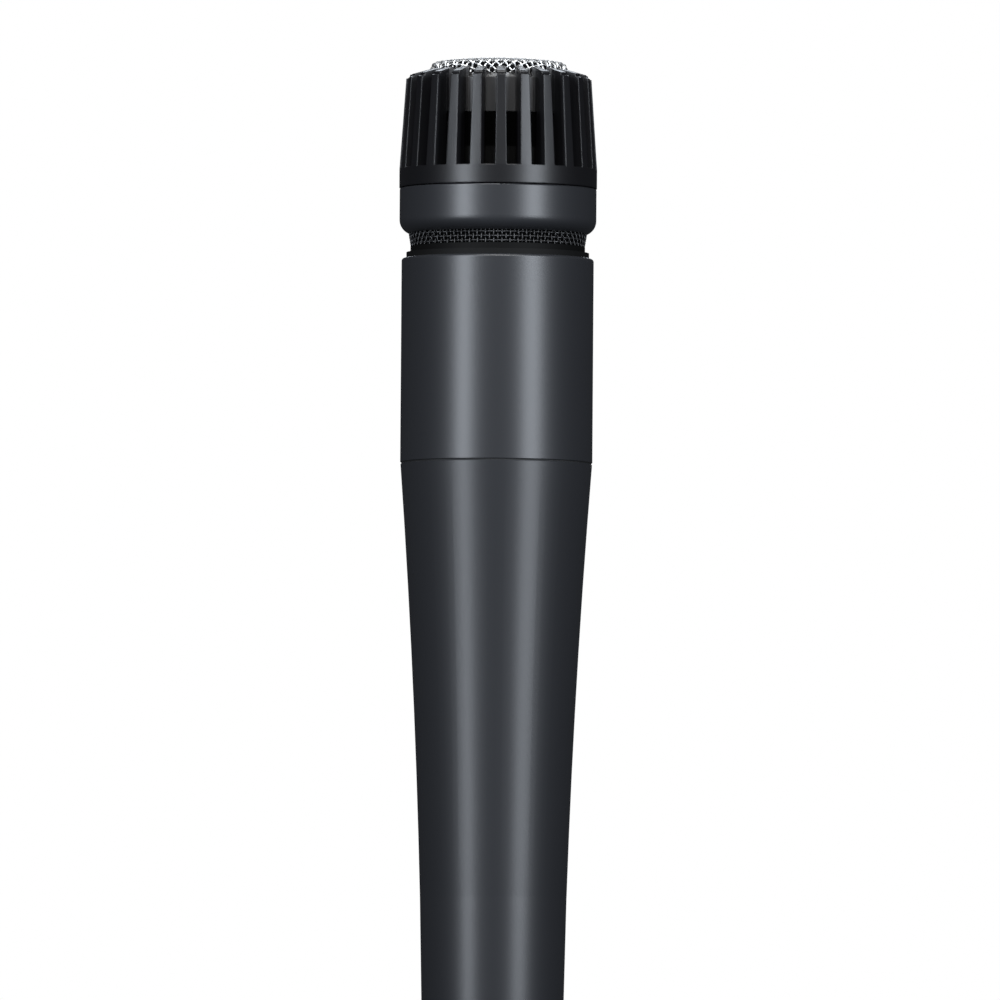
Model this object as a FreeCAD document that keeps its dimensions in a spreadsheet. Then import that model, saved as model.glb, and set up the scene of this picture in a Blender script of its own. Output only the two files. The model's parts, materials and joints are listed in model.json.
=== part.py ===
import FreeCAD, Part
import math
import os
import re
import Sketcher

# Dynamic microphone with a slotted grille, standing on the end of its handle. Millimetres.
# Z runs along the microphone from the handle's end face (z = 0) to the top of the mesh.
# Every size is in the sheet; a profile is a list of (radius, height) pairs of formulas.

SIZES = [
    # overall
    ("overall_length", "160", "handle end to mesh top"),
    ("body_radius", "15.55", "barrel, outside"),
    ("head_length", "65.7", "joint line to mesh top"),
    ("seam_z", "=overall_length - head_length", "joint line between handle and barrel"),
    ("seam_gap", "0.16", "thickness of the gasket in the joint line"),
    ("handle_top_z", "=seam_z - seam_gap / 2", ""),
    ("barrel_low_z", "=seam_z + seam_gap / 2", ""),
    # handle
    ("handle_end_radius", "=socket_radius + 3.2", "room for the connector in its sleeve"),
    ("handle_top_radius", "=body_radius - 0.05", ""),
    ("handle_knee_radius", "=handle_end_radius + 0.5", "where the flare begins"),
    ("handle_bow", "0.408", "how far the flare dips under a straight line"),
    ("handle_wall", "1.9", ""),
    ("edge_round", "0.6", ""),
    # connector
    ("socket_radius", "8.15", "room for the nose of a standard three-pin plug"),
    ("sleeve_radius", "=handle_end_radius - handle_wall", ""),
    ("insert_radius", "=(socket_radius + sleeve_radius) / 2 - 0.2", ""),
    ("socket_depth", "14", ""),
    ("flange_z", "=socket_depth + 2", ""),
    ("insert_top_z", "=socket_depth + 6", ""),
    ("sleeve_top_z", "=socket_depth + 8", ""),
    ("sleeve_recess", "0.3", ""),
    ("shoulder_radius", "=insert_radius", ""),
    ("shoulder_top_z", "=sleeve_top_z + 2", ""),
    ("pin_radius", "1.2", ""),
    ("pin_root_radius", "0.9", "pin inside the insert"),
    ("pin_circle", "3.8", ""),
    ("pin_tip_z", "2.5", ""),
    ("cup_radius", "1", ""),
    ("solder_bore", "=lead_radius + 0.15", ""),
    ("cup_top_z", "=insert_top_z + 4", ""),
    ("screw_radius", "1.25", ""),
    ("screw_z", "=insert_top_z - 2", ""),
    ("screw_tip", "=insert_radius - 0.8", ""),
    ("screw_head", "=handle_end_radius - 0.1", ""),
    # inside of the handle
    ("cavity_low_z", "=shoulder_top_z + 1", ""),
    ("cavity_low_radius", "=handle_end_radius - handle_wall + 0.55", ""),
    ("cavity_top_z", "=seam_z - 10.8", ""),
    ("cavity_top_radius", "=body_radius - 2.95", ""),
    ("cavity_slope", "=(cavity_top_radius - cavity_low_radius) / (cavity_top_z - cavity_low_z)", ""),
    # screw thread between handle and barrel
    ("thread_pitch", "1.5", ""),
    ("thread_radius", "=body_radius - 2.15", "crest of the male thread"),
    ("thread_depth", "0.8", ""),
    ("thread_root", "=thread_radius - thread_depth", ""),
    ("thread_crest", "=thread_pitch / 2 - thread_depth * 0.57735", "half the width of a crest"),
    ("thread_play", "0.08", ""),
    ("female_bore", "=thread_root + 0.25", ""),
    ("female_root", "=thread_radius + 0.1", ""),
    ("relief_low_z", "=seam_z - 8.8", ""),
    ("nipple_bore", "=thread_root - 1", ""),
    ("nipple_low_z", "=seam_z - 9.1", ""),
    ("nipple_top_z", "=seam_z + 9.7", ""),
    # transformer
    ("core_low_z", "=shoulder_top_z + 10", ""),
    ("core_height", "16", ""),
    ("core_width", "14", ""),
    ("core_depth", "6", ""),
    ("leg_width", "1.8", ""),
    ("window_width", "2.9", ""),
    ("window_low_z", "=core_low_z + 2.5", ""),
    ("window_top_z", "=core_low_z + core_height - 2.5", ""),
    ("bobbin_wall", "0.7", ""),
    ("bobbin_depth", "12", ""),
    ("winding_build", "2", ""),
    ("pad_thickness", "3", ""),
    # leads
    ("lead_radius", "0.45", ""),
    ("lead_play", "0.3", "room round a lead in a foam pad"),
    ("lead_offset", "4.6", ""),
    ("pair_radius", "0.55", ""),
    ("pair_pitch", "14", ""),
    ("pair_low_z", "=window_top_z + 10.5", ""),
    ("pair_top_z", "=seam_z + 22", ""),
    # barrel
    ("barrel_seat_radius", "=body_radius - 1.95", ""),
    ("barrel_bore", "=body_radius - 2.25", ""),
    ("barrel_top_z", "=seam_z + 33.2", ""),
    ("barrel_shoulder", "0.5", ""),
    ("seam_bevel", "0.12", ""),
    ("mount_low_z", "=seam_z + 26.7", ""),
    ("mount_bore", "=body_radius - 2.95", ""),
    ("lip_radius", "=body_radius - 0.76", ""),
    ("lip_top_z", "=seam_z + 34.1", ""),
    # cartridge
    ("neck_low_z", "=lip_top_z + 0.95", ""),
    ("neck_low_radius", "=body_radius - 1.42", ""),
    ("neck_top_radius", "=body_radius - 1.07", ""),
    ("neck_wall", "0.3", ""),
    ("neck_core_radius", "=body_radius - 2.65", ""),
    ("collar_low_z", "=seam_z + 37.2", ""),
    ("collar_top_z", "=seam_z + 44.5", ""),
    ("collar_radius", "=body_radius + 0.38", ""),
    ("collar_bore", "=body_radius - 2.15", ""),
    ("frame_bore", "=body_radius - 5.55", ""),
    ("frame_foot_z", "=mount_low_z - 1.3", ""),
    ("frame_low_z", "=mount_low_z - 2.5", ""),
    ("board_radius", "=frame_bore + 0.4", ""),
    ("board_thickness", "1.2", ""),
    ("board_low_z", "=frame_low_z + 0.5", ""),
    ("spigot_radius", "=body_radius - 2.65", ""),
    ("ledge_z", "=collar_top_z + 2.3", ""),
    ("spigot_top_z", "=ledge_z + 0.9", ""),
    ("ledge_radius", "=body_radius - 3.65", ""),
    ("bead_z", "=collar_top_z + 2", ""),
    ("port_count", "8", ""),
    # motor
    ("cup_low_z", "=collar_low_z - 5.5", ""),
    ("magnet_low_z", "=cup_low_z + 2", ""),
    ("pole_low_z", "=magnet_low_z + 6.2", ""),
    ("plate_low_z", "=magnet_low_z + 8.8", ""),
    ("plate_top_z", "=plate_low_z + 1.7", ""),
    ("cup_bore", "=frame_bore - 1.6", ""),
    ("pole_radius", "=frame_bore - 3.9", ""),
    ("gap_width", "1", ""),
    ("coil_play", "0.3", ""),
    ("coil_wall", "0.35", ""),
    ("coil_low_z", "=plate_low_z - 1.6", ""),
    ("film", "0.15", "thickness of the diaphragm"),
    ("diaphragm_z", "=ledge_z + 0.7", ""),
    ("dome_height", "1.3", ""),
    ("dome_rim", "0.85", ""),
    # front plate
    ("front_low_z", "=spigot_top_z + 1.8", ""),
    ("front_top_z", "=spigot_top_z + 3", ""),
    ("front_radius", "=body_radius - 2.95", ""),
    ("front_hole", "0.9", ""),
    ("cloth_radius", "=front_radius - 0.1", ""),
    ("cloth_wall", "0.2", ""),
    # grille
    ("running_gap", "0.1", ""),
    ("cage_low_z", "=collar_top_z + running_gap", ""),
    ("cage_radius", "=body_radius + 0.45", ""),
    ("slot_low_z", "=seam_z + 47.6", ""),
    ("cage_top_z", "=overall_length - 1.95", ""),
    ("cage_bore", "=spigot_radius + running_gap", ""),
    ("crown_radius", "=body_radius - 0.55", "outside of the ribs at their top"),
    ("crown_fall", "0.9", "drop of the rib tops from the mesh to the outer corner"),
    ("corner", "0.6", ""),
    ("mesh_hole", "=body_radius - 4.3", ""),
    ("rib_count", "24", ""),
    ("rib_low_width", "1.86", ""),
    ("rib_top_width", "1.37", ""),
    ("rib_turn", "1.5", "degrees that the nearest rib stands off the front"),
    ("panel_wall", "0.5", ""),
    ("panel_low_z", "=cage_top_z - 7.4", ""),
    ("panel_top_z", "=cage_top_z - 1.65", ""),
    # mesh cap
    ("mesh_wall", "0.5", ""),
    ("mesh_rise", "0.65", ""),
    ("mesh_round", "1.2", ""),
    ("mesh_low_z", "=overall_length - 4.2", ""),
    ("foam_radius", "=mesh_hole - 1.3", ""),
]

doc = FreeCAD.newDocument("microphone")
sheet = doc.addObject("Spreadsheet::Sheet", "Sizes")
for row, (name, value, note) in enumerate(SIZES, start=1):
    sheet.set(f"A{row}", name)
    sheet.set(f"B{row}", value)
    sheet.setAlias(f"B{row}", name)
    sheet.set(f"C{row}", note)
doc.recompute()

NAMES = {name for name, value, note in SIZES}
made = []


def bound(formula):
    """A formula in sheet names, as an expression that other objects can use."""
    return re.sub(r"[a-z]\w*", lambda m: f"Sizes.{m[0]}" if m[0] in NAMES else m[0], formula)


def number(formula):
    return float(sheet.evalExpression(bound(formula)))


def new_body(label):
    body = doc.addObject("PartDesign::Body", label)
    made.append(body)
    return body


def new_sketch(body, role, offset=None):
    """A sketch on one of the body's own planes, moved along the plane's normal by a formula."""
    sketch = body.newObject("Sketcher::SketchObject", f"{body.Name}_sketch")
    plane = [item for item in body.Origin.OriginFeatures if item.Role == role][0]
    sketch.AttachmentSupport = [(plane, "")]
    sketch.MapMode = "FlatFace"
    if offset:
        sketch.setExpression("AttachmentOffset.Base.z", bound(offset))
    return sketch


def hold_length(sketch, kind, first, second, formula):
    """Binds a vertex to a formula along one axis, or to the other axis where the formula is 0."""
    if number(formula) == 0:
        axis = -2 if kind == "DistanceX" else -1
        sketch.addConstraint(Sketcher.Constraint("PointOnObject", first, second, axis))
        return
    index = sketch.addConstraint(
        Sketcher.Constraint(kind, -1, 1, first, second, number(formula))
    )
    sketch.setExpression(f"Constraints[{index}]", bound(formula))


def outline(sketch, points, bows=None):
    """A closed outline through points given as formulas.

    bows maps the number of a side to how far its arc swells to the right of the way it runs,
    or to "domed" for an arc whose centre lies on the axis.
    """
    bows = bows or {}
    places = [FreeCAD.Vector(number(x), number(y), 0) for x, y in points]
    ends = []
    for side, start in enumerate(places):
        follow = (side + 1) % len(places)
        stop = places[follow]
        if side not in bows:
            index = sketch.addGeometry(Part.LineSegment(start, stop), False)
            ends.append((index, 1, 2))
            continue
        chord = stop - start
        square = FreeCAD.Vector(chord.y, -chord.x, 0).normalize()
        if bows[side] == "domed":
            reach = chord.Length ** 2 / (2 * abs(chord.y))
            depth = reach - math.sqrt(reach ** 2 - chord.Length ** 2 / 4)
            middle = (start + stop) / 2 + FreeCAD.Vector(abs(square.x), abs(square.y), 0) * depth
        else:
            middle = (start + stop) / 2 + square * number(bows[side])
        arc = Part.Arc(start, middle, stop)
        index = sketch.addGeometry(arc, False)
        forward = sketch.getPoint(index, 1).distanceToPoint(start) < 1e-6
        ends.append((index, 1, 2) if forward else (index, 2, 1))
        if bows[side] == "domed":
            sketch.addConstraint(Sketcher.Constraint("PointOnObject", index, 3, -2))
            continue
        (x0, y0), (x1, y1) = points[side], points[follow]
        span = f"(({x1}) - ({x0})) ^ 2 + (({y1}) - ({y0})) ^ 2"
        bow = f"abs({bows[side]})"
        radius = f"({span}) / (8 * {bow}) + {bow} / 2"
        held = sketch.addConstraint(Sketcher.Constraint("Radius", index, number(radius)))
        sketch.setExpression(f"Constraints[{held}]", bound(radius))
    for side, (index, start, stop) in enumerate(ends):
        after = ends[(side + 1) % len(ends)]
        sketch.addConstraint(Sketcher.Constraint("Coincident", index, stop, after[0], after[1]))
    for (index, start, stop), (x, y) in zip(ends, points):
        hold_length(sketch, "DistanceX", index, start, x)
        hold_length(sketch, "DistanceY", index, start, y)


def circles(sketch, centres, radius):
    """Circles of one radius; centres and radius are formulas."""
    for x, y in centres:
        shape = Part.Circle(FreeCAD.Vector(number(x), number(y), 0), FreeCAD.Vector(0, 0, 1), 1)
        index = sketch.addGeometry(shape, False)
        hold_length(sketch, "DistanceX", index, 3, x)
        hold_length(sketch, "DistanceY", index, 3, y)
        held = sketch.addConstraint(Sketcher.Constraint("Radius", index, number(radius)))
        sketch.setExpression(f"Constraints[{held}]", bound(radius))


def feature(body, kind, sketch=None):
    item = body.newObject(f"PartDesign::{kind}", f"{body.Name}_{kind.lower()}")
    if sketch:
        item.Profile = sketch
        sketch.Visibility = False
    return item


def turn(body, points, bows=None, kind="Revolution"):
    """Turns an outline of (radius, height) pairs about Z, as material or as a cut."""
    sketch = new_sketch(body, "XZ_Plane")
    outline(sketch, points, bows)
    item = feature(body, kind, sketch)
    item.ReferenceAxis = (sketch, ["V_Axis"])
    item.Angle = 360
    doc.recompute()
    return item


def extrude(body, sketch, length, kind="Pad", reverse=False):
    item = feature(body, kind, sketch)
    item.setExpression("Length", bound(length))
    item.Reversed = reverse
    doc.recompute()
    return item


def around(body, originals, count):
    """Repeats features about the body's Z axis."""
    item = body.newObject("PartDesign::PolarPattern", f"{body.Name}_pattern")
    axis = [part for part in body.Origin.OriginFeatures if part.Role == "Z_Axis"][0]
    item.Originals = originals
    item.Axis = (axis, [""])
    item.Angle = 360
    item.setExpression("Occurrences", bound(count))
    body.Tip = item
    doc.recompute()
    return item


def ring_edges(body, radius, height):
    """Names of the body's circular edges of this radius at this height."""
    names = []
    for index, edge in enumerate(body.Shape.Edges, start=1):
        curve = edge.Curve
        if not isinstance(curve, Part.Circle):
            continue
        same_radius = abs(curve.Radius - number(radius)) < 1e-3
        if same_radius and abs(curve.Center.z - number(height)) < 1e-3:
            names.append(f"Edge{index}")
    return names


def dress(body, kind, size, rings):
    """A fillet or a chamfer on circular edges given as (radius, height) pairs."""
    names = []
    for radius, height in rings:
        names += ring_edges(body, radius, height)
    base = body.Tip
    item = body.newObject(f"PartDesign::{kind}", f"{body.Name}_{kind.lower()}")
    item.Base = (base, names)
    item.setExpression("Radius" if kind == "Fillet" else "Size", bound(size))
    body.Tip = item
    doc.recompute()
    return item


def thread(body, points, height):
    """Cuts a right-hand helical groove with this outline of (radius, height) pairs."""
    sketch = new_sketch(body, "XZ_Plane")
    outline(sketch, points)
    item = feature(body, "SubtractiveHelix", sketch)
    item.ReferenceAxis = (sketch, ["V_Axis"])
    item.Mode = "pitch-height-angle"
    item.setExpression("Pitch", bound("thread_pitch"))
    item.setExpression("Height", bound(height))
    item.Angle = 0
    doc.recompute()
    return item


def turned(label, points, bows=None):
    body = new_body(label)
    turn(body, points, bows)
    return body


def ring(label, inner, outer, low, top):
    return turned(label, [(inner, low), (outer, low), (outer, top), (inner, top)])


def disc(label, radius, low, top):
    return turned(label, [("0", low), (radius, low), (radius, top), ("0", top)])


def box(label, x, y, z):
    """A block given as a (low, high) pair of formulas along each axis."""
    block = doc.addObject("Part::Box", label)
    for size, axis, (low, high) in zip(("Length", "Width", "Height"), "xyz", (x, y, z)):
        block.setExpression(size, bound(f"({high}) - ({low})"))
        block.setExpression(f"Placement.Base.{axis}", bound(low))
    return block


def cut(label, base, tools):
    """base less every tool, as one named piece."""
    for step, tool in enumerate(tools, start=1):
        last = step == len(tools)
        joined = doc.addObject("Part::Cut", label if last else f"{label}_cut_{step}")
        joined.Base = base
        joined.Tool = tool
        base = joined
    doc.recompute()
    made.append(base)
    return base


def fuse(name, pieces):
    joined = doc.addObject("Part::MultiFuse", name)
    joined.Shapes = pieces
    doc.recompute()
    return joined


def lead(label, points):
    """A round wire: straight runs through points in millimetres, joined by tangent arcs."""
    places = [FreeCAD.Vector(*point) for point in points]
    edges = []
    radii = []
    start = places[0]
    for before, corner, after in zip(places, places[1:], places[2:]):
        back = before - corner
        ahead = after - corner
        setback = 0.45 * min(back.Length, ahead.Length)
        half_turn = (math.pi - back.getAngle(ahead)) / 2
        radius = setback / math.tan(half_turn)
        back.normalize()
        ahead.normalize()
        inward = (back + ahead).normalize()
        middle = corner + inward * (radius / math.cos(half_turn) - radius)
        stop = corner + back * setback
        edges.append(Part.LineSegment(start, stop).toShape())
        start = corner + ahead * setback
        edges.append(Part.Arc(stop, middle, start).toShape())
        radii.append(radius)
    edges.append(Part.LineSegment(start, places[-1]).toShape())
    spine = Part.Wire(edges)
    section = Part.Circle(places[0], places[1] - places[0], number("lead_radius"))
    wire = doc.addObject("Part::Feature", label)
    wire.Shape = spine.makePipeShell([Part.Wire(section.toShape())], True, False)
    straight = math.pi * number("lead_radius") ** 2 * spine.Length
    print(label, "bend radii", [round(radius, 2) for radius in radii])
    print(label, "volume over section times length", round(wire.Shape.Volume / straight, 4))
    made.append(wire)
    return wire


def cavity(height):
    """Formula of the handle's inside radius at a height."""
    return f"cavity_low_radius + cavity_slope * ({height} - cavity_low_z)"


# ---- handle ----

handle = turned(
    "handle_shell",
    [
        ("sleeve_radius", "0"),
        ("handle_end_radius", "0"),
        ("handle_knee_radius", "shoulder_top_z"),
        ("handle_top_radius", "handle_top_z - seam_bevel"),
        ("handle_top_radius - seam_bevel", "handle_top_z"),
        ("female_bore", "handle_top_z"),
        ("female_bore", "relief_low_z"),
        ("female_root + 0.1", "relief_low_z"),
        ("female_root + 0.1", "cavity_top_z"),
        ("cavity_top_radius", "cavity_top_z"),
        ("cavity_low_radius", "cavity_low_z"),
        ("shoulder_radius", "shoulder_top_z"),
        ("shoulder_radius", "sleeve_top_z"),
        ("sleeve_radius", "sleeve_top_z"),
    ],
    {2: "-handle_bow"},
)
dress(handle, "Fillet", "edge_round", [("handle_end_radius", "0")])
screw_hole = new_sketch(handle, "XZ_Plane")
circles(screw_hole, [("0", "screw_z")], "screw_radius")
extrude(handle, screw_hole, "body_radius", "Pocket")
female_low = "seam_z - 9.6"
female_half = "thread_crest + thread_play + (thread_radius - female_bore + 0.1) * 0.57735"
female_tip = "thread_crest + thread_play - 0.1 * 0.57735"
thread(
    handle,
    [
        ("female_bore - 0.1", f"{female_low} - ({female_half})"),
        ("female_root", f"{female_low} - ({female_tip})"),
        ("female_root", f"{female_low} + ({female_tip})"),
        ("female_bore - 0.1", f"{female_low} + ({female_half})"),
    ],
    "11",
)

sleeve = turned(
    "xlr_sleeve",
    [
        ("socket_radius", "sleeve_recess"),
        ("sleeve_radius", "sleeve_recess"),
        ("sleeve_radius", "sleeve_top_z"),
        ("insert_radius", "sleeve_top_z"),
        ("insert_radius", "flange_z"),
        ("socket_radius", "flange_z"),
    ],
)
dress(sleeve, "Chamfer", "0.4", [("socket_radius", "sleeve_recess")])
window = new_sketch(sleeve, "XZ_Plane")
outline(window, [("-1.9", "3.5"), ("1.9", "3.5"), ("1.9", "7.5"), ("-1.9", "7.5")])
extrude(sleeve, window, "body_radius", "Pocket")
screw_way = new_sketch(sleeve, "XZ_Plane")
circles(screw_way, [("0", "screw_z")], "screw_radius")
extrude(sleeve, screw_way, "body_radius", "Pocket")

PINS = {
    "xlr_pin_ground": ("pin_circle", "0"),
    "xlr_pin_hot": ("-pin_circle", "0"),
    "xlr_pin_cold": ("0", "-pin_circle"),
}
insert = turned(
    "xlr_insert",
    [
        ("0", "socket_depth"),
        ("socket_radius", "socket_depth"),
        ("socket_radius", "flange_z"),
        ("insert_radius", "flange_z"),
        ("insert_radius", "insert_top_z"),
        ("0", "insert_top_z"),
    ],
)
pin_holes = new_sketch(insert, "XY_Plane")
circles(pin_holes, list(PINS.values()), "pin_root_radius")
extrude(insert, pin_holes, "2 * insert_top_z", "Pocket", reverse=True)
dimple = new_sketch(insert, "XZ_Plane", "-screw_tip")
circles(dimple, [("0", "screw_z")], "screw_radius")
extrude(insert, dimple, "body_radius", "Pocket")

for label, (x, y) in PINS.items():
    pin = turned(
        label,
        [
            ("0", "pin_tip_z"),
            ("pin_radius", "pin_tip_z"),
            ("pin_radius", "socket_depth"),
            ("pin_root_radius", "socket_depth"),
            ("pin_root_radius", "insert_top_z"),
            ("cup_radius", "insert_top_z"),
            ("cup_radius", "cup_top_z"),
            ("solder_bore", "cup_top_z"),
            ("solder_bore", "cup_top_z - 2.2"),
            ("0", "cup_top_z - 2.2"),
        ],
    )
    dress(pin, "Fillet", "0.7", [("pin_radius", "pin_tip_z")])
    pin.setExpression("Placement.Base.x", bound(x))
    pin.setExpression("Placement.Base.y", bound(y))

strip = new_body("ground_strip")
strap = new_sketch(strip, "XY_Plane", "insert_top_z")
strap_end = "insert_radius - 0.2"
outline(
    strap,
    [
        ("pin_circle - 1.7", "-1.6"),
        (strap_end, "-1.6"),
        (strap_end, "1.6"),
        ("pin_circle - 1.7", "1.6"),
    ],
)
extrude(strip, strap, "0.4")
eye = new_sketch(strip, "XY_Plane", "insert_top_z")
circles(eye, [("pin_circle", "0")], "cup_radius")
extrude(strip, eye, "1", "Pocket", reverse=True)
tab = new_sketch(strip, "XY_Plane", "insert_top_z + 0.4")
tab_start = f"{strap_end} - 0.4"
outline(tab, [(tab_start, "-1"), (strap_end, "-1"), (strap_end, "1"), (tab_start, "1")])
extrude(strip, tab, "1.5")

screw = new_body("lock_screw")
shank = new_sketch(screw, "XZ_Plane", "-screw_tip")
circles(shank, [("0", "screw_z")], "screw_radius")
extrude(screw, shank, "screw_head - screw_tip", reverse=True)
driver_slot = new_sketch(screw, "XZ_Plane", "-screw_head + 0.6")
outline(
    driver_slot,
    [
        ("-0.2", "screw_z - 2"),
        ("0.2", "screw_z - 2"),
        ("0.2", "screw_z + 2"),
        ("-0.2", "screw_z + 2"),
    ],
)
extrude(screw, driver_slot, "2", "Pocket")

# transformer: laminated core with a wound bobbin on its middle leg, between two foam pads
half_width = "core_width / 2"
half_depth = "core_depth / 2"
leg_half = "core_width / 2 - leg_width - window_width"
block = box(
    "core_block",
    (f"-{half_width}", half_width),
    (f"-{half_depth}", half_depth),
    ("core_low_z", "core_low_z + core_height"),
)
windows = []
for side, sign in (("left", "-"), ("right", "")):
    near, far = leg_half, f"{leg_half} + window_width"
    reach = (f"-({far})", f"-({near})") if sign else (near, far)
    windows.append(
        box(
            f"core_window_{side}",
            reach,
            ("-core_depth", "core_depth"),
            ("window_low_z", "window_top_z"),
        )
    )
cut("transformer_core", block, windows)

tube_x = f"{leg_half} + bobbin_wall"
tube_y = f"{half_depth} + bobbin_wall"
flange_x = f"{leg_half} + window_width"
tube = box(
    "bobbin_tube",
    (f"-({tube_x})", tube_x),
    (f"-({tube_y})", tube_y),
    ("window_low_z", "window_top_z"),
)
flanges = []
for name, low in (("low", "window_low_z"), ("top", "window_top_z - bobbin_wall")):
    flanges.append(
        box(
            f"bobbin_flange_{name}",
            (f"-({flange_x})", flange_x),
            ("-bobbin_depth / 2", "bobbin_depth / 2"),
            (low, f"{low} + bobbin_wall"),
        )
    )
leg_hole = box(
    "bobbin_hole",
    (f"-({leg_half})", leg_half),
    (f"-{half_depth}", half_depth),
    ("core_low_z", "core_low_z + core_height"),
)
cut("transformer_bobbin", fuse("bobbin_solid", [tube] + flanges), [leg_hole])

coil_low = "window_low_z + bobbin_wall"
coil_top = "window_top_z - bobbin_wall"
coil_block = box(
    "winding_block",
    (f"-({tube_x} + winding_build)", f"{tube_x} + winding_build"),
    (f"-({tube_y} + winding_build)", f"{tube_y} + winding_build"),
    (coil_low, coil_top),
)
coil_hole = box(
    "winding_hole",
    (f"-({tube_x})", tube_x),
    (f"-({tube_y})", tube_y),
    (coil_low, coil_top),
)
cut("transformer_winding", coil_block, [coil_hole])

for label, low, holes in (
    ("pad_lower", "window_low_z - pad_thickness", [(1, 1), (-1, 1), (0, -1)]),
    ("pad_upper", "window_top_z", [(1, -1), (-1, 1)]),
):
    top = f"{low} + pad_thickness"
    pad = turned(label, [("0", low), (cavity(low), low), (cavity(top), top), ("0", top)])
    seat = new_sketch(pad, "XY_Plane", low)
    outline(
        seat,
        [
            (f"-{half_width}", f"-{half_depth}"),
            (half_width, f"-{half_depth}"),
            (half_width, half_depth),
            (f"-{half_width}", half_depth),
        ],
    )
    extrude(pad, seat, "2 * pad_thickness", "Pocket", reverse=True)
    ways = new_sketch(pad, "XY_Plane", low)
    centres = [(f"{x} * pin_circle", f"{y} * lead_offset") for x, y in holes]
    circles(ways, centres, "lead_radius + lead_play")
    extrude(pad, ways, "2 * pad_thickness", "Pocket", reverse=True)

cup_floor = number("cup_top_z - 2.2")
flange_low = number("window_low_z")
for label, pin, side in (
    ("lead_ground", "xlr_pin_ground", 1),
    ("lead_hot", "xlr_pin_hot", 1),
    ("lead_cold", "xlr_pin_cold", -1),
):
    x, y = [number(formula) for formula in PINS[pin]]
    way = side * number("lead_offset")
    lead(
        label,
        [
            (x, y, cup_floor + 0.1),
            (x, y, cup_floor + 4.1),
            (x, way, flange_low - 4.1),
            (x, way, flange_low - 0.1),
        ],
    )

bobbin_top = number("window_top_z")
pair_low = number("pair_low_z")
pair_top = number("pair_top_z")
steps = round((pair_top - pair_low) / number("pair_pitch") * 8)
side_way = number("pin_circle")
front_way = -number("lead_offset")
pair_points = [
    (side_way, front_way, bobbin_top + 0.1),
    (side_way, front_way, bobbin_top + 4),
    (side_way * 0.4, front_way * 0.4, bobbin_top + 7.7),
]
for step in range(steps + 1):
    height = pair_low + (pair_top - pair_low) * step / steps
    angle = 2 * math.pi * (height - pair_low) / number("pair_pitch")
    radius = number("pair_radius")
    pair_points.append((radius * math.cos(angle), radius * math.sin(angle), height))
red = lead("lead_red", pair_points)

# the black lead of the pair is the red one turned half way round
black = doc.addObject("Part::Feature", "lead_black")
black.Shape = red.Shape.copy()
black.Placement = FreeCAD.Placement(
    FreeCAD.Vector(0, 0, 0), FreeCAD.Rotation(FreeCAD.Vector(0, 0, 1), 180)
)
made.append(black)

# ---- joint line ----

ring("seam_gasket", "barrel_seat_radius", "body_radius - 0.17", "handle_top_z", "barrel_low_z")

# ---- barrel ----

barrel = turned(
    "barrel_shell",
    [
        ("barrel_seat_radius", "barrel_low_z"),
        ("body_radius - seam_bevel", "barrel_low_z"),
        ("body_radius", "barrel_low_z + seam_bevel"),
        ("body_radius", "barrel_top_z"),
        ("barrel_seat_radius", "barrel_top_z"),
        ("barrel_seat_radius", "mount_low_z"),
        ("barrel_bore", "mount_low_z"),
        ("barrel_bore", "nipple_top_z"),
        ("barrel_seat_radius", "nipple_top_z"),
    ],
)
dress(barrel, "Fillet", "barrel_shoulder", [("body_radius", "barrel_top_z")])

nipple = turned(
    "thread_nipple",
    [
        ("nipple_bore", "nipple_low_z"),
        ("thread_root", "nipple_low_z"),
        ("thread_radius", "nipple_low_z + thread_depth"),
        ("thread_radius", "seam_z - 1.4"),
        ("thread_root", "seam_z - 1.4 + thread_depth / 2"),
        ("thread_root", "barrel_low_z"),
        ("barrel_seat_radius", "barrel_low_z"),
        ("barrel_seat_radius", "nipple_top_z"),
        ("nipple_bore", "nipple_top_z"),
    ],
)
male_low = f"{female_low} - thread_pitch / 2 - thread_pitch"
male_half = "thread_pitch / 2 - thread_crest + 0.1 * 0.57735"
thread(
    nipple,
    [
        ("thread_root", male_low),
        ("thread_radius + 0.1", f"{male_low} - ({male_half})"),
        ("thread_radius + 0.1", f"{male_low} + ({male_half})"),
    ],
    f"seam_z - 1.25 - ({male_low})",
)

turned(
    "shock_mount",
    [
        ("mount_bore", "mount_low_z"),
        ("barrel_seat_radius", "mount_low_z"),
        ("barrel_seat_radius", "barrel_top_z"),
        ("lip_radius", "barrel_top_z"),
        ("lip_radius", "lip_top_z"),
        ("mount_bore", "lip_top_z"),
    ],
)

# ---- cartridge ----

frame = turned(
    "cartridge_frame",
    [
        ("board_radius", "frame_low_z"),
        ("mount_bore", "frame_low_z"),
        ("mount_bore", "frame_foot_z"),
        ("mount_bore + 0.4", "frame_foot_z"),
        ("mount_bore + 0.4", "mount_low_z"),
        ("mount_bore", "mount_low_z"),
        ("mount_bore", "lip_top_z"),
        ("neck_low_radius", "lip_top_z"),
        ("neck_low_radius", "neck_low_z"),
        ("neck_core_radius", "neck_low_z"),
        ("neck_core_radius", "collar_low_z"),
        ("collar_bore", "collar_low_z"),
        ("collar_bore", "collar_top_z"),
        ("spigot_radius", "collar_top_z"),
        ("spigot_radius", "bead_z - 0.3"),
        ("spigot_radius + 0.25", "bead_z"),
        ("spigot_radius", "bead_z + 0.3"),
        ("spigot_radius", "spigot_top_z"),
        ("ledge_radius", "spigot_top_z"),
        ("ledge_radius", "ledge_z"),
        ("frame_bore", "ledge_z"),
        ("frame_bore", "board_low_z + board_thickness"),
        ("board_radius", "board_low_z + board_thickness"),
    ],
)
port = new_sketch(frame, "YZ_Plane", "mount_bore - 1.5")
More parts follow.
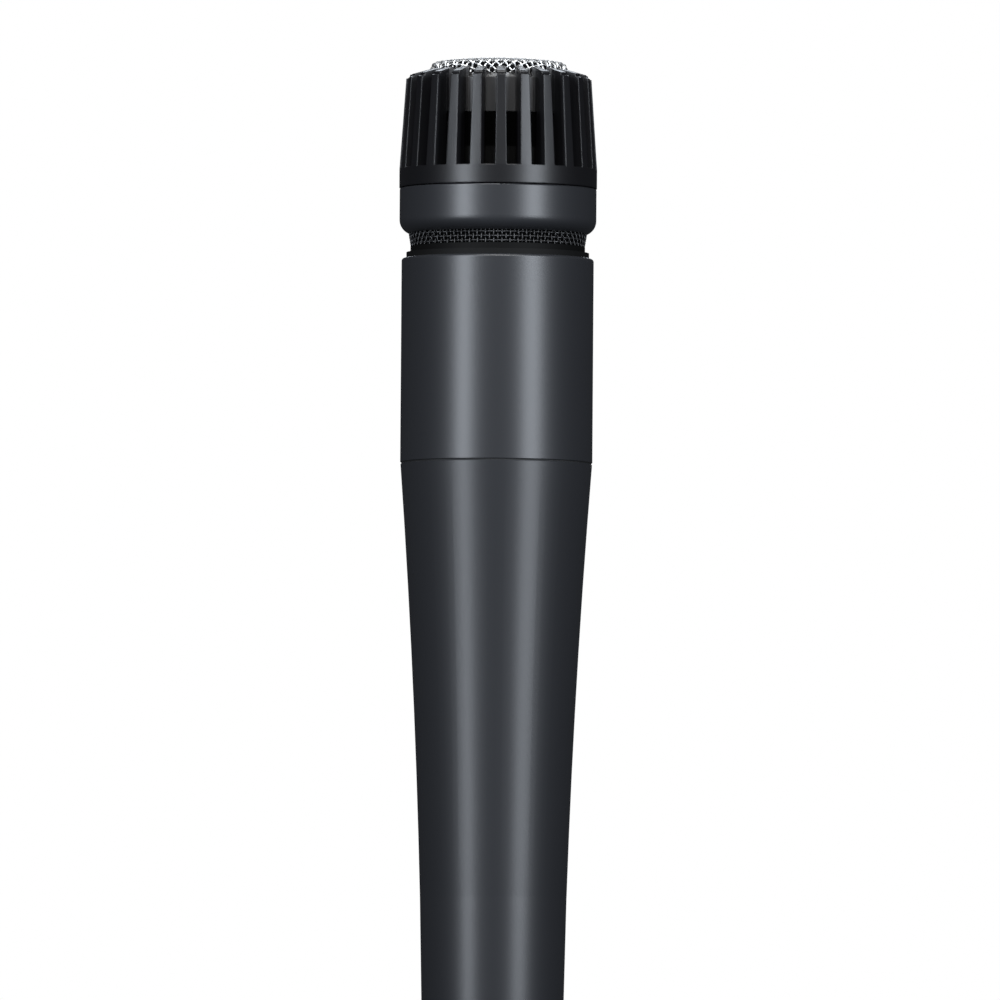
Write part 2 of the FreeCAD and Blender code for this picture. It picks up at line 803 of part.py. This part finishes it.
outline(
    port,
    [
        ("-2.4", "neck_low_z + 0.3"),
        ("2.4", "neck_low_z + 0.3"),
        ("2.4", "collar_low_z - 0.3"),
        ("-2.4", "collar_low_z - 0.3"),
    ],
)
first_port = extrude(frame, port, "2.5", "Pocket", reverse=True)
around(frame, [first_port], "port_count")

collar = turned(
    "cartridge_collar",
    [
        ("collar_bore", "collar_low_z"),
        ("collar_radius - 1.5", "collar_low_z"),
        ("collar_radius", "collar_low_z + 2.2"),
        ("collar_radius", "collar_top_z"),
        ("collar_bore", "collar_top_z"),
    ],
    {1: "0.42"},
)
dress(collar, "Fillet", "0.25", [("collar_radius", "collar_top_z")])

turned(
    "rear_entry_mesh",
    [
        ("neck_low_radius - neck_wall", "neck_low_z"),
        ("neck_low_radius", "neck_low_z"),
        ("neck_top_radius", "collar_low_z"),
        ("neck_top_radius - neck_wall", "collar_low_z"),
    ],
)
turned(
    "rear_entry_cloth",
    [
        ("neck_core_radius", "neck_low_z"),
        ("neck_low_radius - neck_wall", "neck_low_z"),
        ("neck_top_radius - neck_wall", "collar_low_z"),
        ("neck_core_radius", "collar_low_z"),
    ],
)

turned(
    "magnet_cup",
    [
        ("0", "cup_low_z"),
        ("frame_bore", "cup_low_z"),
        ("frame_bore", "plate_low_z"),
        ("cup_bore", "plate_low_z"),
        ("cup_bore", "magnet_low_z"),
        ("0", "magnet_low_z"),
    ],
)
disc("magnet", "pole_radius - 0.1", "magnet_low_z", "pole_low_z")
disc("pole_piece", "pole_radius", "pole_low_z", "plate_top_z")
ring("top_plate", "pole_radius + gap_width", "frame_bore", "plate_low_z", "plate_top_z")

board = disc("terminal_board", "board_radius", "board_low_z", "board_low_z + board_thickness")
terminal_holes = new_sketch(board, "XY_Plane", "board_low_z")
circles(terminal_holes, [("5", "0"), ("-5", "0")], "0.7")
extrude(board, terminal_holes, "2 * board_thickness", "Pocket", reverse=True)
for label, x in (("terminal_red", "5"), ("terminal_black", "-5")):
    terminal = turned(
        label,
        [
            ("0", "board_low_z - 1.8"),
            ("0.7", "board_low_z - 1.8"),
            ("0.7", "board_low_z + board_thickness"),
            ("1.2", "board_low_z + board_thickness"),
            ("1.2", "board_low_z + board_thickness + 0.5"),
            ("0", "board_low_z + board_thickness + 0.5"),
        ],
    )
    terminal.setExpression("Placement.Base.x", x)
turned(
    "lead_socket",
    [
        ("1.3", "board_low_z - 4.5"),
        ("2", "board_low_z - 4.5"),
        ("2", "board_low_z"),
        ("0", "board_low_z"),
        ("0", "board_low_z - 1.2"),
        ("1.3", "board_low_z - 1.2"),
    ],
)

front = turned(
    "front_plate",
    [
        ("ledge_radius - 0.7", "ledge_z + film"),
        ("ledge_radius", "ledge_z + film"),
        ("ledge_radius", "spigot_top_z"),
        ("front_radius", "spigot_top_z"),
        ("front_radius", "front_top_z"),
        ("0", "front_top_z"),
        ("0", "front_low_z"),
        ("ledge_radius - 0.7", "front_low_z"),
    ],
)
centre_hole = new_sketch(front, "XY_Plane", "front_low_z")
circles(centre_hole, [("0", "0")], "front_hole")
extrude(front, centre_hole, "5", "Pocket", reverse=True)
for share, count in ((0.36, "6"), (0.72, "12")):
    holes = new_sketch(front, "XY_Plane", "front_low_z")
    circles(holes, [(f"front_radius * {share}", "0")], "front_hole")
    around(front, [extrude(front, holes, "5", "Pocket", reverse=True)], count)

ring("front_cloth", "cloth_radius - cloth_wall", "cloth_radius", "front_top_z", "panel_low_z - 0.1")

# ---- diaphragm ----

coil_bore = "pole_radius + coil_play"
coil_outside = f"{coil_bore} + coil_wall"
rim = f"{coil_outside} + dome_rim"
turned(
    "diaphragm_surround",
    [
        (rim, "diaphragm_z"),
        ("ledge_radius - 0.9", "ledge_z"),
        ("ledge_radius", "ledge_z"),
        ("ledge_radius", "ledge_z + film"),
        ("ledge_radius - 0.9", "ledge_z + film"),
        (rim, "diaphragm_z + film"),
    ],
)
turned(
    "diaphragm_dome",
    [
        ("0", "diaphragm_z + dome_height"),
        (coil_outside, "diaphragm_z"),
        (rim, "diaphragm_z"),
        (rim, "diaphragm_z + film"),
        (coil_outside, "diaphragm_z + film"),
        ("0", "diaphragm_z + dome_height + film"),
    ],
    {0: "domed", 4: "domed"},
)
ring("voice_coil", coil_bore, coil_outside, "coil_low_z", "diaphragm_z")

# ---- grille ----

cage = turned(
    "grille_cage",
    [
        ("cage_bore", "cage_low_z"),
        ("cage_radius", "cage_low_z"),
        ("cage_radius", "slot_low_z"),
        ("cage_bore", "slot_low_z"),
        ("cage_bore", "bead_z + 0.5"),
        ("cage_bore + 0.3", "bead_z + 0.3"),
        ("cage_bore + 0.3", "bead_z - 0.3"),
        ("cage_bore", "bead_z - 0.5"),
    ],
)
rib = new_sketch(cage, "YZ_Plane", "cage_bore")
rib_top = "cage_top_z + 1"
outline(
    rib,
    [
        ("-rib_low_width / 2", "slot_low_z"),
        ("rib_low_width / 2", "slot_low_z"),
        ("rib_top_width / 2", rib_top),
        ("-rib_top_width / 2", rib_top),
    ],
)
rib_pad = extrude(cage, rib, "cage_radius + 1 - cage_bore")
crown = new_sketch(cage, "YZ_Plane", "mesh_hole")
outline(
    crown,
    [
        ("-rib_top_width / 2", "panel_low_z"),
        ("rib_top_width / 2", "panel_low_z"),
        ("rib_top_width / 2", rib_top),
        ("-rib_top_width / 2", rib_top),
    ],
)
crown_pad = extrude(cage, crown, "cage_bore + 1 - mesh_hole")
around(cage, [rib_pad, crown_pad], "rib_count")
turn(
    cage,
    [
        ("mesh_hole", "panel_low_z"),
        ("mesh_hole + panel_wall", "panel_low_z"),
        ("mesh_hole + panel_wall", "panel_top_z - 0.1"),
        ("mesh_hole", "panel_top_z"),
    ],
)
turn(
    cage,
    [
        ("cage_radius", "slot_low_z"),
        ("cage_radius + 3", "slot_low_z"),
        ("cage_radius + 3", "cage_top_z + 2"),
        ("0", "cage_top_z + 2"),
        ("0", "cage_top_z"),
        ("mesh_hole", "cage_top_z"),
        ("crown_radius - corner", "cage_top_z - crown_fall"),
        ("crown_radius", "cage_top_z - crown_fall - corner"),
    ],
    {6: "0.3 * corner"},
    "Groove",
)
cage.Placement = FreeCAD.Placement(
    FreeCAD.Vector(0, 0, 0), FreeCAD.Rotation(FreeCAD.Vector(0, 0, 1), number("rib_turn"))
)

dome_edge = "overall_length - mesh_rise"
turned(
    "grille_mesh",
    [
        ("0", "overall_length - mesh_wall"),
        ("0", "overall_length"),
        ("mesh_hole - mesh_round", dome_edge),
        ("mesh_hole", f"{dome_edge} - mesh_round"),
        ("mesh_hole", "mesh_low_z"),
        ("mesh_hole - mesh_wall", "mesh_low_z"),
        ("mesh_hole - mesh_wall", f"{dome_edge} - mesh_round"),
        ("mesh_hole - mesh_round", f"{dome_edge} - mesh_wall"),
    ],
    {
        1: "domed",
        2: "-0.3 * mesh_round",
        6: "0.3 * (mesh_round - mesh_wall)",
        7: "domed",
    },
)
ring("mesh_ring", "mesh_hole - 1.2", "mesh_hole - mesh_wall", "mesh_low_z", "mesh_low_z + 1.2")
turned(
    "foam_disc",
    [
        ("0", "panel_low_z"),
        ("mesh_hole", "panel_low_z"),
        ("mesh_hole", "mesh_low_z"),
        ("foam_radius", "mesh_low_z"),
        ("foam_radius", f"{dome_edge} - mesh_wall - 0.4"),
        ("0", "overall_length - mesh_wall - 0.4"),
    ],
)

# ---- checks and export ----

doc.recompute()
os.makedirs("parts", exist_ok=True)
for item in doc.Objects:
    if "Invalid" in item.State or "Error" in item.State:
        raise RuntimeError(f"{item.Label} did not compute: {item.State}")
for item in made:
    shape = item.Shape
    if shape.isNull() or not shape.isValid() or shape.Volume <= 0:
        raise RuntimeError(f"{item.Label} has no valid solid")
    if len(shape.Solids) != 1:
        raise RuntimeError(f"{item.Label} has {len(shape.Solids)} solids")
    shape.exportStep(f"parts/{item.Label}.step")
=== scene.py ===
"""Looks of the dynamic microphone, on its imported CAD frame. Metres, Z up, -Y faces the viewer."""
import json
import math

import bpy
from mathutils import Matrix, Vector


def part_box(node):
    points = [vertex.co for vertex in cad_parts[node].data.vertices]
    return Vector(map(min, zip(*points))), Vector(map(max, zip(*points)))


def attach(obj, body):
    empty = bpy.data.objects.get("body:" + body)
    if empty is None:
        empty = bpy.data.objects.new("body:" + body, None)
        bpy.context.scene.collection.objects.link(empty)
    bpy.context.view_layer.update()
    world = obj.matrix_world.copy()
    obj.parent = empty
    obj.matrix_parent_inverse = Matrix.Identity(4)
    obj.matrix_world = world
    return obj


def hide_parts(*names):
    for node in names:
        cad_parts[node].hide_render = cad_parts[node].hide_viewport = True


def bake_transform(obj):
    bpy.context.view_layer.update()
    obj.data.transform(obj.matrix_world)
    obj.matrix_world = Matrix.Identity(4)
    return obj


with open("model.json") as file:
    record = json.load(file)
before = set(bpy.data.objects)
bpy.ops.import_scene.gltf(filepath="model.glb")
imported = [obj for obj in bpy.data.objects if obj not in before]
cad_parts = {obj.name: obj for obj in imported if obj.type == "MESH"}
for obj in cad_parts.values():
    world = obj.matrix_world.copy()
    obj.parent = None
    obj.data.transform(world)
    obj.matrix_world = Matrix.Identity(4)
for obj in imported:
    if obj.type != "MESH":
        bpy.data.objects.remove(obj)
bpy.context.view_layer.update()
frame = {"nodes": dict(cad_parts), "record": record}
nodes = frame["nodes"]

MM = 0.001

# ---- materials ----


def new_material(name, colour, roughness, metallic=0.0, coat=0.0):
    material = bpy.data.materials.new(name)
    material.use_nodes = True
    shader = material.node_tree.nodes["Principled BSDF"]
    shader.inputs["Base Color"].default_value = (*colour, 1.0)
    shader.inputs["Roughness"].default_value = roughness
    shader.inputs["Metallic"].default_value = metallic
    shader.inputs["Coat Weight"].default_value = coat
    shader.inputs["Coat Roughness"].default_value = 0.3
    return material


def object_space(material):
    coordinates = material.node_tree.nodes.new("ShaderNodeTexCoord")
    return coordinates.outputs["Object"]


def add_grain(material, size, depth, roughness_swing=0.0):
    """A fine random grain: size and depth in metres, with an optional swing in roughness."""
    tree = material.node_tree
    shader = tree.nodes["Principled BSDF"]
    noise = tree.nodes.new("ShaderNodeTexNoise")
    noise.inputs["Scale"].default_value = 1.0 / size
    noise.inputs["Detail"].default_value = 3.0
    tree.links.new(object_space(material), noise.inputs["Vector"])
    bump = tree.nodes.new("ShaderNodeBump")
    bump.inputs["Strength"].default_value = 1.0
    bump.inputs["Distance"].default_value = depth
    tree.links.new(noise.outputs["Fac"], bump.inputs["Height"])
    tree.links.new(bump.outputs["Normal"], shader.inputs["Normal"])
    if not roughness_swing:
        return
    middle = shader.inputs["Roughness"].default_value
    swing = tree.nodes.new("ShaderNodeMapRange")
    swing.inputs["To Min"].default_value = middle - roughness_swing
    swing.inputs["To Max"].default_value = middle + roughness_swing
    tree.links.new(noise.outputs["Fac"], swing.inputs["Value"])
    tree.links.new(swing.outputs["Result"], shader.inputs["Roughness"])


def add_ridges(material, direction, pitch, depth):
    """Fine parallel ridges, as on windings and stacked laminations."""
    tree = material.node_tree
    shader = tree.nodes["Principled BSDF"]
    wave = tree.nodes.new("ShaderNodeTexWave")
    wave.wave_type = "BANDS"
    wave.bands_direction = direction
    # a wave texture of scale s repeats every 2 pi / (20 s) metres
    wave.inputs["Scale"].default_value = 2 * math.pi / (20 * pitch)
    tree.links.new(object_space(material), wave.inputs["Vector"])
    bump = tree.nodes.new("ShaderNodeBump")
    bump.inputs["Strength"].default_value = 1.0
    bump.inputs["Distance"].default_value = depth
    tree.links.new(wave.outputs["Fac"], bump.inputs["Height"])
    tree.links.new(bump.outputs["Normal"], shader.inputs["Normal"])


def round_edges(material, radius):
    """Lets sharp edges catch the light as edges rounded to radius do."""
    tree = material.node_tree
    bevel = tree.nodes.new("ShaderNodeBevel")
    bevel.samples = 6
    bevel.inputs["Radius"].default_value = radius
    bump = [node for node in tree.nodes if node.bl_idname == "ShaderNodeBump"][0]
    tree.links.new(bevel.outputs["Normal"], bump.inputs["Normal"])


def paint_light_near_axis(material, radius, colour):
    """Painted light: a lighter colour on whatever lies nearer to the Z axis than radius, standing in
    for light that reaches these recessed faces.
    """
    tree = material.node_tree
    shader = tree.nodes["Principled BSDF"]
    flat = tree.nodes.new("ShaderNodeVectorMath")
    flat.operation = "MULTIPLY"
    flat.inputs[1].default_value = (1.0, 1.0, 0.0)
    tree.links.new(object_space(material), flat.inputs[0])
    reach = tree.nodes.new("ShaderNodeVectorMath")
    reach.operation = "LENGTH"
    tree.links.new(flat.outputs["Vector"], reach.inputs[0])
    painted_light_mask = tree.nodes.new("ShaderNodeMath")
    painted_light_mask.operation = "LESS_THAN"
    painted_light_mask.inputs[1].default_value = radius
    tree.links.new(reach.outputs["Value"], painted_light_mask.inputs[0])
    painted_light_mix = tree.nodes.new("ShaderNodeMix")
    painted_light_mix.data_type = "RGBA"
    painted_light_mix.inputs["A"].default_value = shader.inputs["Base Color"].default_value
    painted_light_mix.inputs["B"].default_value = (*colour, 1.0)
    tree.links.new(painted_light_mask.outputs["Value"], painted_light_mix.inputs["Factor"])
    tree.links.new(painted_light_mix.outputs["Result"], shader.inputs["Base Color"])


# slot: colour, roughness, metallic, coat
FINISHES = {
    "enamel": ((0.020, 0.021, 0.024), 0.38, 0.0, 0.25),
    "collar_paint": ((0.020, 0.021, 0.024), 0.38, 0.0, 0.25),
    "cage_plastic": ((0.005, 0.005, 0.006), 0.36, 0.0, 0.0),
    "frame_plastic": ((0.003, 0.003, 0.003), 0.6, 0.0, 0.0),
    "neck_mesh": ((0.014, 0.014, 0.015), 0.30, 0.0, 0.0),
    "mesh_steel": ((0.85, 0.85, 0.84), 0.40, 1.0, 0.0),
    "nickel": ((0.62, 0.60, 0.57), 0.28, 1.0, 0.0),
    "contact": ((0.80, 0.76, 0.66), 0.22, 1.0, 0.0),
    "spring_brass": ((0.72, 0.55, 0.28), 0.3, 1.0, 0.0),
    "thread_brass": ((0.70, 0.52, 0.25), 0.28, 1.0, 0.0),
    "screw_steel": ((0.10, 0.10, 0.10), 0.35, 1.0, 0.0),
    "core_steel": ((0.30, 0.30, 0.31), 0.45, 1.0, 0.0),
    "motor_steel": ((0.55, 0.55, 0.56), 0.3, 1.0, 0.0),
    "magnet_alloy": ((0.30, 0.30, 0.31), 0.5, 1.0, 0.0),
    "copper": ((0.62, 0.23, 0.10), 0.3, 1.0, 0.0),
    "bobbin_plastic": ((0.62, 0.58, 0.46), 0.45, 0.0, 0.0),
    "insulator": ((0.012, 0.012, 0.013), 0.45, 0.0, 0.0),
    "board": ((0.16, 0.065, 0.022), 0.5, 0.0, 0.0),
    "film": ((0.55, 0.50, 0.36), 0.2, 0.0, 0.0),
    "foam": ((0.012, 0.012, 0.013), 0.95, 0.0, 0.0),
    "felt": ((0.002, 0.002, 0.002), 1.0, 0.0, 0.0),
    "gasket_rubber": ((0.008, 0.008, 0.008), 0.7, 0.0, 0.0),
    "mount_rubber": ((0.004, 0.004, 0.004), 0.65, 0.0, 0.0),
    "lead_plain": ((0.012, 0.012, 0.012), 0.35, 0.0, 0.0),
    "lead_white": ((0.62, 0.61, 0.58), 0.35, 0.0, 0.0),
    "lead_green": ((0.01, 0.14, 0.04), 0.35, 0.0, 0.0),
    "lead_red": ((0.38, 0.008, 0.008), 0.35, 0.0, 0.0),
    "lead_black": ((0.012, 0.012, 0.012), 0.35, 0.0, 0.0),
}
# slot: grain size, grain depth, swing in roughness
GRAINS = {
    "enamel": (0.10 * MM, 0.0015 * MM, 0.04),
    "collar_paint": (0.10 * MM, 0.0015 * MM, 0.04),
    "cage_plastic": (0.14 * MM, 0.003 * MM, 0.06),
    "frame_plastic": (0.2 * MM, 0.003 * MM, 0.05),
    "foam": (0.5 * MM, 0.12 * MM, 0.0),
    "felt": (0.12 * MM, 0.05 * MM, 0.0),
    "mount_rubber": (0.15 * MM, 0.003 * MM, 0.06),
    "board": (0.6 * MM, 0.01 * MM, 0.08),
    "nickel": (0.5 * MM, 0.001 * MM, 0.06),
}

# slot: reflection at the surface, where it is weaker than the usual 0.5
DULL = {"felt": 0.0, "foam": 0.0, "mount_rubber": 0.15, "frame_plastic": 0.1}

materials = {}
for slot, (colour, roughness, metallic, coat) in FINISHES.items():
    materials[slot] = new_material(slot, colour, roughness, metallic, coat)
for slot, (size, depth, swing) in GRAINS.items():
    add_grain(materials[slot], size, depth, swing)
for slot, share in DULL.items():
    shader = materials[slot].node_tree.nodes["Principled BSDF"]
    shader.inputs["Specular IOR Level"].default_value = share

CAGE_EDGE_SHINE = 0.28 * MM
# painted light: the recessed panels between the cage's ribs, nearer the axis than this reach, get a
# lighter grey that stands in for the light falling on them between the ribs
PAINTED_LIGHT_REACH = 12.4 * MM
PANEL_PAINTED_LIGHT = (0.075, 0.075, 0.077)
WINDING_PITCH = 0.22 * MM
WINDING_DEPTH = 0.05 * MM
LAMINATION = 0.5 * MM
LAMINATION_GROOVE = 0.04 * MM
round_edges(materials["cage_plastic"], CAGE_EDGE_SHINE)
# paints light onto the recessed panels of the cage, which the ribs otherwise leave in shade
paint_light_near_axis(materials["cage_plastic"], PAINTED_LIGHT_REACH, PANEL_PAINTED_LIGHT)
add_ridges(materials["copper"], "Z", WINDING_PITCH, WINDING_DEPTH)
add_ridges(materials["core_steel"], "Y", LAMINATION, LAMINATION_GROOVE)

for part in frame["record"]["subparts"]:
    data = nodes[part["node"]].data
    data.materials.clear()
    data.materials.append(materials[part["material_slot"]])

# ---- woven wire ----


def add_ring(vertices, point, normal, along, radius, sides):
    """Adds the circle of vertices round one point of a wire."""
    across = along.cross(normal).normalized()
    up = across.cross(along)
    for side in range(sides):
        angle = 2 * math.pi * side / sides
        offset = across * math.cos(angle) + up * math.sin(angle)
        vertices.append(point + offset * radius)


def add_sleeve(faces, low, high, sides):
    """Joins two rings of vertices, which start at low and high, with a band of faces."""
    for side in range(sides):
        follow = (side + 1) % sides
        faces.append((low + side, low + follow, high + follow, high + side))


def smooth_piece(name, vertices, faces):
    mesh = bpy.data.meshes.new(name)
    mesh.from_pydata([tuple(vertex) for vertex in vertices], [], faces)
    mesh.validate()
    for polygon in mesh.polygons:
        polygon.use_smooth = True
    piece = bpy.data.objects.new(name, mesh)
    bpy.context.scene.collection.objects.link(piece)
    return piece


def tube_mesh(name, lines, radius, sides):
    """One mesh of round wires along lines of (point, surface normal), closed at the ends."""
    vertices = []
    faces = []
    for line in lines:
        first = len(vertices)
        last_step = len(line) - 1
        for step, (point, normal) in enumerate(line):
            before = line[max(step - 1, 0)][0]
            after = line[min(step + 1, last_step)][0]
            add_ring(vertices, point, normal, (after - before).normalized(), radius, sides)
        for step in range(last_step):
            low = first + step * sides
            add_sleeve(faces, low, low + sides, sides)
        last = first + last_step * sides
        faces.append(tuple(first + side for side in reversed(range(sides))))
        faces.append(tuple(last + side for side in range(sides)))
    return smooth_piece(name, vertices, faces)


def loop_mesh(name, loops, radius, sides):
    """One mesh of closed round wires along loops of (point, surface normal)."""
    vertices = []
    faces = []
    for loop in loops:
        first = len(vertices)
        count = len(loop)
        for step, (point, normal) in enumerate(loop):
            along = (loop[(step + 1) % count][0] - loop[step - 1][0]).normalized()
            add_ring(vertices, point, normal, along, radius, sides)
        for step in range(count):
            follow = (step + 1) % count
            add_sleeve(faces, first + step * sides, first + follow * sides, sides)
    return smooth_piece(name, vertices, faces)


_, cap_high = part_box("grille_mesh")
CAP_TOP = cap_high[2]
CAP_RADIUS = cap_high[0]
CAP_ROUND = 1.2 * MM
CAP_RISE = 0.65 * MM
CAP_WIRE = 0.16 * MM  # the wire's radius
CAP_PITCH = 1.0 * MM
CAP_SKIRT = 0.9 * MM
CAP_ROUND_ARC = 0.35 * MM
CAP_STEPS_PER_PITCH = 6
CAP_SIDES = 8
CAP_TURN = math.radians(46)


def cap_point(x, y, lift):
    """A flat point of the cap's cloth, formed over the dome and down the rounded edge."""
    reach = math.hypot(x, y)
    angle = math.atan2(y, x)
    flat = CAP_RADIUS - CAP_ROUND
    ball = (flat**2 + CAP_RISE**2) / (2 * CAP_RISE)
    edge_slope = math.asin(flat / ball)
    bend = math.pi / 2 - edge_slope
    skin = CAP_TOP - 2 * CAP_WIRE
    round_radius = CAP_ROUND - 2 * CAP_WIRE
    round_length = round_radius * bend
    if reach <= flat:
        radius = reach
        tilt = math.asin(reach / ball)
        height = skin - (ball - math.sqrt(ball**2 - reach**2))
    elif reach <= flat + round_length:
        tilt = edge_slope + (reach - flat) / round_radius
        radius = flat + round_radius * (math.sin(tilt) - math.sin(edge_slope))
        height = skin - CAP_RISE - round_radius * (math.cos(edge_slope) - math.cos(tilt))
    else:
        tilt = math.pi / 2
        radius = flat + round_radius * (1 - math.sin(edge_slope))
        drop = reach - flat - round_length
        height = skin - CAP_RISE - round_radius * math.cos(edge_slope) - drop
    normal = Vector(
        (math.sin(tilt) * math.cos(angle), math.sin(tilt) * math.sin(angle), math.cos(tilt))
    )
    point = Vector((radius * math.cos(angle), radius * math.sin(angle), height))
    return point + normal * lift, normal


def cap_lines():
    """Wires of a plain weave, both ways, over and under one another."""
    reach = CAP_RADIUS + CAP_ROUND_ARC + CAP_SKIRT
    count = int(reach / CAP_PITCH)
    lines = []
    for way in (0, 1):
        turn = CAP_TURN + way * math.pi / 2
        along = Vector((math.cos(turn), math.sin(turn)))
        across = Vector((-math.sin(turn), math.cos(turn)))
        for number in range(-count, count + 1):
            offset = number * CAP_PITCH
            half = math.sqrt(max(reach**2 - offset**2, 0.0))
            steps = max(int(2 * half / CAP_PITCH * CAP_STEPS_PER_PITCH), 2)
            line = []
            for step in range(steps + 1):
                run = -half + 2 * half * step / steps
                place = along * run + across * offset
                phase = math.pi * (run / CAP_PITCH + number + way)
                lift = CAP_WIRE * math.cos(phase)
                line.append(cap_point(place.x, place.y, lift))
            lines.append(line)
    return lines


steel_cap = tube_mesh("steel_cap", cap_lines(), CAP_WIRE, CAP_SIDES)
steel_cap.data.materials.append(materials["mesh_steel"])
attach(steel_cap, "grille")
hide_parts("grille_mesh")

neck_low, neck_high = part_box("rear_entry_mesh")
NECK_WIRE = 0.13 * MM  # the wire's radius
NECK_COLUMNS = 132
NECK_ROWS = 3
NECK_TOP_RADIUS = neck_high[0]
NECK_TAPER = 0.35 * MM
NECK_LOW_RADIUS = NECK_TOP_RADIUS - NECK_TAPER
NECK_UPRIGHT_STEPS = 24
NECK_STEPS_PER_COLUMN = 4
NECK_SIDES = 6


def neck_point(share, angle, lift):
    """A point of the neck band: share runs from 0 at its foot to 1 at its top."""
    radius = NECK_LOW_RADIUS + (NECK_TOP_RADIUS - NECK_LOW_RADIUS) * share
    radius += lift - 2 * NECK_WIRE
    height = neck_low[2] + (neck_high[2] - neck_low[2]) * share
    normal = Vector((math.cos(angle), math.sin(angle), 0.0))
    return Vector((radius * math.cos(angle), radius * math.sin(angle), height)), normal


columns = []
for column in range(NECK_COLUMNS):
    angle = 2 * math.pi * column / NECK_COLUMNS
    line = []
    for step in range(NECK_UPRIGHT_STEPS + 1):
        share = step / NECK_UPRIGHT_STEPS
        lift = NECK_WIRE * math.cos(math.pi * (share * NECK_ROWS + column))
        line.append(neck_point(share, angle, lift))
    columns.append(line)
rows = []
for row in range(NECK_ROWS):
    share = (row + 0.5) / NECK_ROWS
    loop = []
    for step in range(NECK_COLUMNS * NECK_STEPS_PER_COLUMN):
        turns = step / (NECK_COLUMNS * NECK_STEPS_PER_COLUMN)
        lift = NECK_WIRE * math.cos(math.pi * (turns * NECK_COLUMNS + row + 1))
        loop.append(neck_point(share, 2 * math.pi * turns, lift))
    rows.append(loop)
for piece in (
    tube_mesh("neck_upright_wires", columns, NECK_WIRE, NECK_SIDES),
    loop_mesh("neck_round_wires", rows, NECK_WIRE, NECK_SIDES),
):
    piece.data.materials.append(materials["neck_mesh"])
    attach(piece, "cartridge")
    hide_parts("rear_entry_mesh")

# ---- soft pieces across a joint, copied into loose meshes ----

# node: the two bodies it joins, the heights where it leaves the first and reaches the second
SOFT = {
    "lead_red": ("handle", "gasket", 50.0 * MM, 116.0 * MM),
    "lead_black": ("handle", "gasket", 50.0 * MM, 116.0 * MM),
    "shock_mount": ("barrel", "cartridge", 121.0 * MM, 128.4 * MM),
    "diaphragm_surround": ("cartridge", "diaphragm", 141.1 * MM, 141.8 * MM),
}
for name, (first, second, start, end) in SOFT.items():
    bending = bpy.data.objects.new(f"{name}_bending", nodes[name].data.copy())
    bending.matrix_world = nodes[name].matrix_world
    bpy.context.scene.collection.objects.link(bending)
    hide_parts(name)
    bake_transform(bending)

# ---- edges of the moulded cage ----

CAGE_EDGE_ROUND = 0.22 * MM

bevel = nodes["grille_cage"].modifiers.new("edge_rounding", "BEVEL")
bevel.width = CAGE_EDGE_ROUND
bevel.segments = 4
bevel.limit_method = "ANGLE"
bevel.angle_limit = math.radians(40)

# ---- light, background and camera ----

world = bpy.data.worlds.new("studio")
bpy.context.scene.world = world
world.use_nodes = True
tree = world.node_tree
background = tree.nodes["Background"]
seen = tree.nodes.new("ShaderNodeBackground")
seen.inputs["Color"].default_value = (1.0, 1.0, 1.0, 1.0)
background.inputs["Color"].default_value = (0.024, 0.025, 0.027, 1.0)
rays = tree.nodes.new("ShaderNodeLightPath")
mixer = tree.nodes.new("ShaderNodeMixShader")
tree.links.new(rays.outputs["Is Camera Ray"], mixer.inputs["Fac"])
tree.links.new(background.outputs["Background"], mixer.inputs[1])
tree.links.new(seen.outputs["Background"], mixer.inputs[2])
tree.links.new(mixer.outputs["Shader"], tree.nodes["World Output"].inputs["Surface"])


def softbox(name, azimuth, height, distance, width, tall, power, aim_height, tint):
    """An area light aimed at the microphone; azimuth in degrees, 0 at the viewer, + to the right."""
    light = bpy.data.lights.new(name, "AREA")
    light.shape = "RECTANGLE"
    light.size = width
    light.size_y = tall
    light.energy = power
    light.color = tint
    lamp = bpy.data.objects.new(name, light)
    turn = math.radians(azimuth)
    lamp.location = (distance * math.sin(turn), -distance * math.cos(turn), height)
    aim = Vector((0.0, 0.0, aim_height)) - lamp.location
    lamp.rotation_euler = aim.to_track_quat("-Z", "Y").to_euler()
    lamp.visible_camera = False
    bpy.context.scene.collection.objects.link(lamp)


COOL = (0.86, 0.92, 1.0)
WHITE = (1.0, 1.0, 1.0)
softbox("left_softbox", -40, 0.36, 0.8, 0.24, 0.72, 6.1, 0.36, COOL)
softbox("right_softbox", 42, 0.36, 0.8, 0.29, 0.72, 6.6, 0.36, COOL)
softbox("top_softbox", 0, 0.75, 0.55, 0.5, 0.4, 4.6, 0.16, WHITE)
softbox("back_softbox", 180, 0.58, 0.8, 0.40, 0.50, 2.2, 0.20, COOL)

MIDDLE_HEIGHT = 0.0884
CAMERA_HEIGHT = -0.067
CAMERA_DISTANCE = 3.3
CAMERA_SIDE = 0.00065
CAMERA_ROLL = math.radians(0.40)
SENSOR = 36.0
FRAME_SPAN = 0.1616

camera = bpy.data.cameras.new("camera")
camera.sensor_width = SENSOR
camera.lens = SENSOR * CAMERA_DISTANCE / FRAME_SPAN
camera.clip_start = 0.05
camera.clip_end = 20.0
eye = bpy.data.objects.new("camera", camera)
eye.location = (CAMERA_SIDE, -CAMERA_DISTANCE, CAMERA_HEIGHT)
aim = Vector((CAMERA_SIDE, 0.0, MIDDLE_HEIGHT)) - eye.location
look = aim.to_track_quat("-Z", "Y").to_euler()
look.rotate_axis("Z", CAMERA_ROLL)
eye.rotation_euler = look
bpy.context.scene.collection.objects.link(eye)
bpy.context.scene.camera = eye
bpy.context.scene.view_settings.view_transform = "Standard"
